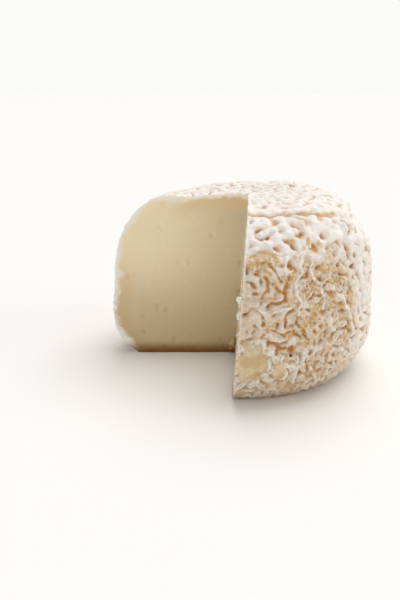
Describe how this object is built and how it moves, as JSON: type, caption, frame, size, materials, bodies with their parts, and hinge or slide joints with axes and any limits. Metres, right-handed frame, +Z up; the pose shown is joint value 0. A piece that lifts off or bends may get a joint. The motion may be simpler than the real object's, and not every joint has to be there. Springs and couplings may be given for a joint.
{
  "type": "crottin",
  "caption": "Small round goat's cheese with a wrinkled ivory rind and one wedge cut out, showing the pale paste inside.",
  "frame": {"origin": "middle of the flat underside, under the middle of the whole box", "axes": "+Z up along the cheese's own axis; one cut face looks to -Y and the other to -X"},
  "size_m": [0.056, 0.0562, 0.0372],
  "materials": {
    "cheese": "soft, matt, slightly waxy"
  },
  "bodies": {
    "root": {"crottin": "cheese"}
  },
  "joints": []
}
